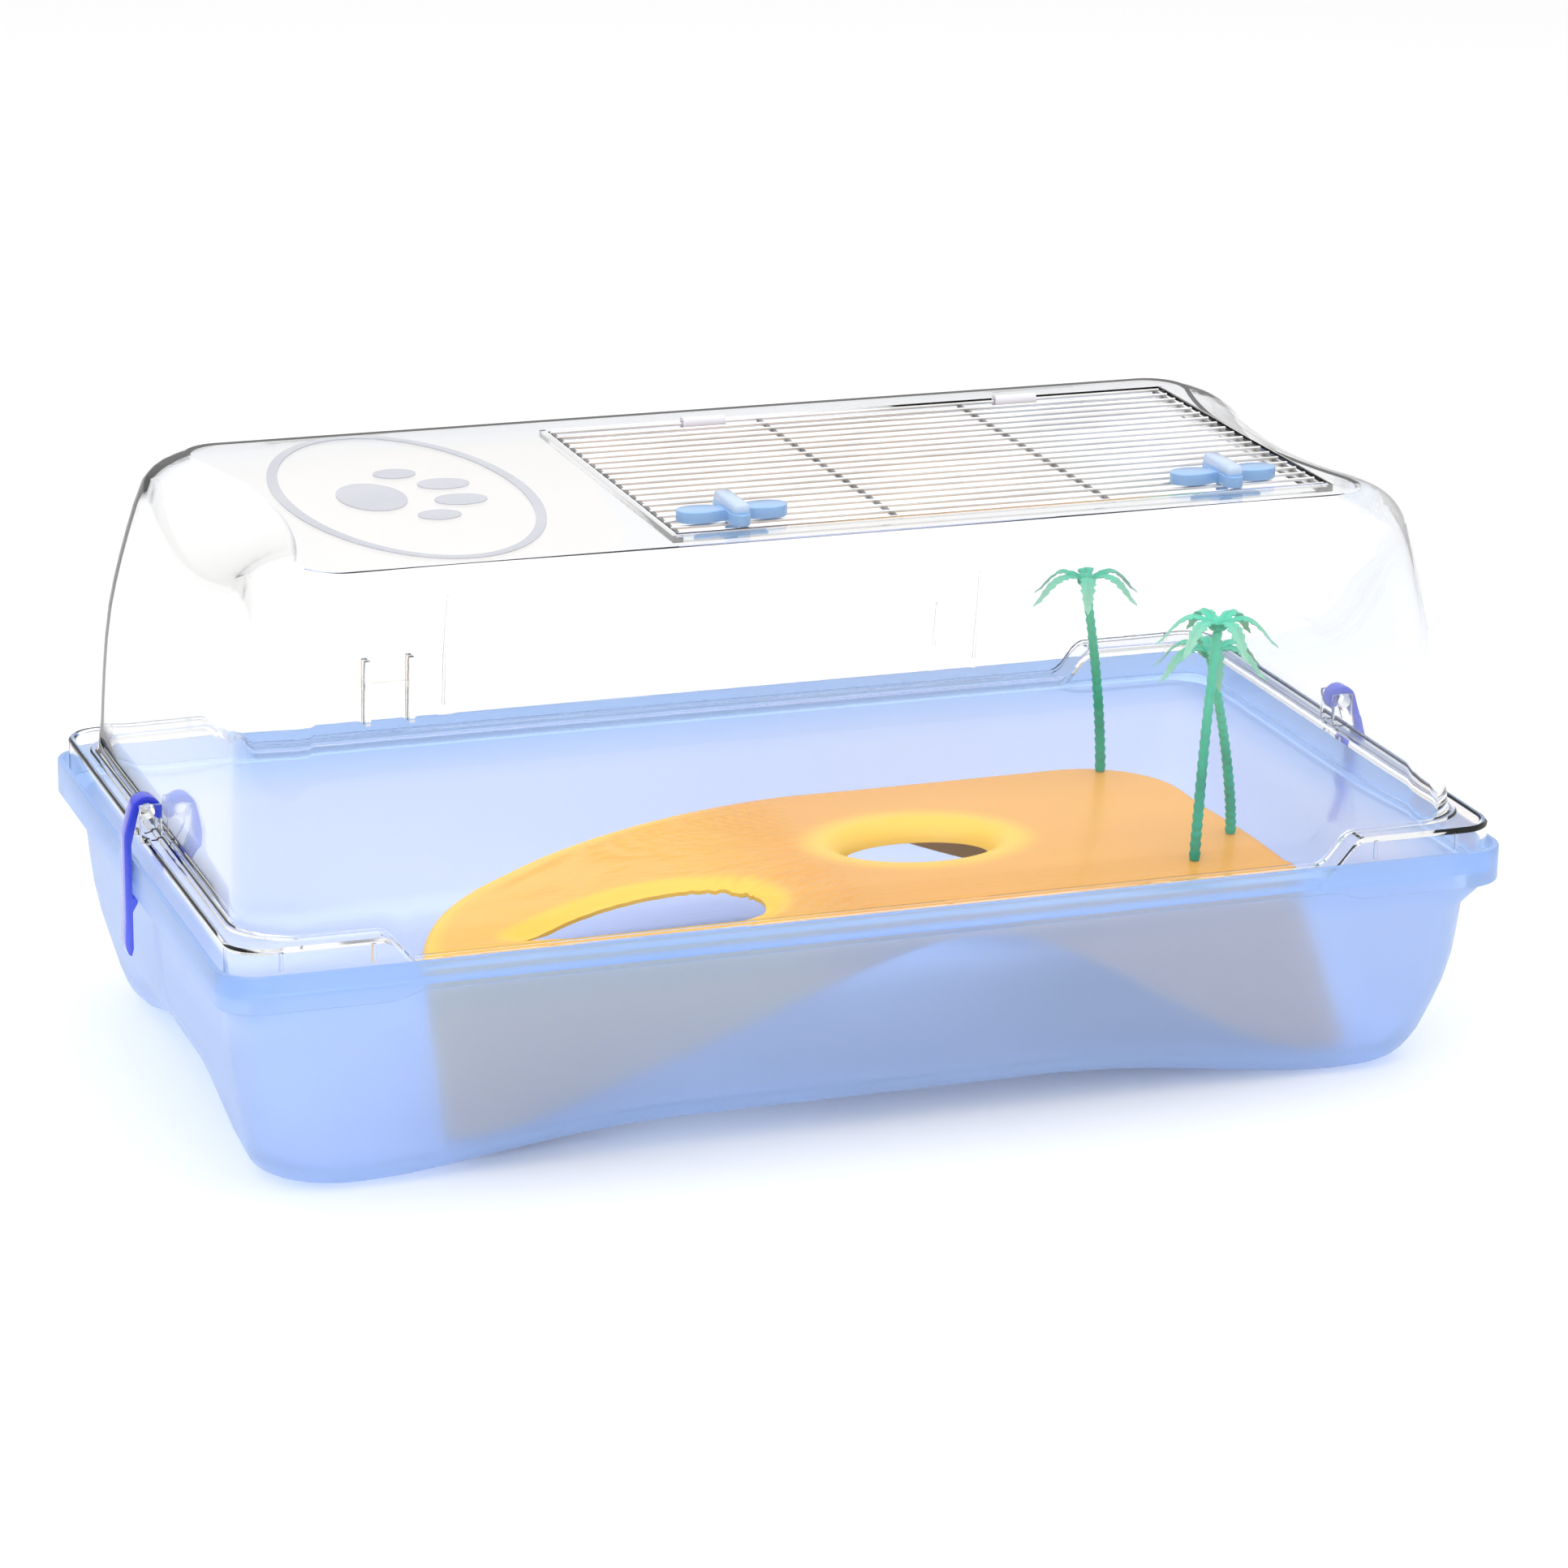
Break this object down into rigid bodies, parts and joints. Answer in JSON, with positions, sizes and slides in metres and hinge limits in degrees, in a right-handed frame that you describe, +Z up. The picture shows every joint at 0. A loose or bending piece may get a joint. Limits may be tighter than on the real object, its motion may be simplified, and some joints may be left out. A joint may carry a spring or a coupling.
{
  "type": "hamster cage",
  "caption": "Small-animal cage with a frosted tray, a clear lift-off hood held by end latches, a hinged wire lid with turn knobs, and a play island with palms.",
  "frame": {"origin": "on the ground, under the middle of the tray's rim", "axes": "+X along the length towards the end under the wire lid, +Y to the back, where the lid hinges, +Z up"},
  "size_m": [0.558, 0.312, 0.2554],
  "materials": {
    "tray_plastic": "frosted translucent light blue",
    "clear_plastic": "clear, glossy",
    "wire": "galvanised, satin",
    "knob_plastic": "light blue, glossy",
    "latch_plastic": "deep blue, glossy",
    "clip_plastic": "natural white",
    "island_plastic": "sand yellow, semi-gloss",
    "palm_trunk_plastic": "green, soft moulded",
    "palm_leaf_plastic": "light green, soft moulded"
  },
  "bodies": {
    "base": {"tray": "tray_plastic"},
    "hood": {"hood": "clear_plastic", "hinge_clip_left": "clip_plastic", "hinge_clip_right": "clip_plastic"},
    "lid": {"grille": "wire"},
    "knob_left": {"knob_left": "knob_plastic", "knob_tongue_left": "knob_plastic"},
    "knob_right": {"knob_right": "knob_plastic", "knob_tongue_right": "knob_plastic"},
    "latch_left": {"latch_left": "latch_plastic"},
    "latch_right": {"latch_right": "latch_plastic"},
    "island": {"island": "island_plastic", "palm_trunk_back": "palm_trunk_plastic", "palm_trunk_front": "palm_trunk_plastic", "palm_trunk_side": "palm_trunk_plastic", "palm_crown_back": "palm_leaf_plastic", "palm_crown_front": "palm_leaf_plastic", "palm_crown_side": "palm_leaf_plastic"}
  },
  "joints": [
    {"name": "hood_lift", "type": "slide", "parent": "base", "child": "hood", "axis": [0, 0, 1], "range_m": [0, 0.2]},
    {"name": "lid_hinge", "type": "hinge", "parent": "hood", "child": "lid", "pos_m": [0.0722, 0.086, 0.24535], "axis": [-1, 0, 0], "range_deg": [0, 105]},
    {"name": "knob_left_turn", "type": "hinge", "parent": "lid", "child": "knob_left", "pos_m": [-0.042, -0.07242, 0.2464], "axis": [0, 0, 1], "range_deg": [0, 90]},
    {"name": "knob_right_turn", "type": "hinge", "parent": "lid", "child": "knob_right", "pos_m": [0.174, -0.07242, 0.2464], "axis": [0, 0, 1], "range_deg": [0, 90]},
    {"name": "latch_left_swing", "type": "hinge", "parent": "hood", "child": "latch_left", "pos_m": [-0.269, 0, 0.1222], "axis": [0, 1, 0], "range_deg": [0, 100]},
    {"name": "latch_right_swing", "type": "hinge", "parent": "hood", "child": "latch_right", "pos_m": [0.269, 0, 0.1222], "axis": [0, -1, 0], "range_deg": [0, 100]},
    {"name": "island_lift", "type": "slide", "parent": "base", "child": "island", "axis": [0, 0, 1], "range_m": [0, 0.03]}
  ]
}
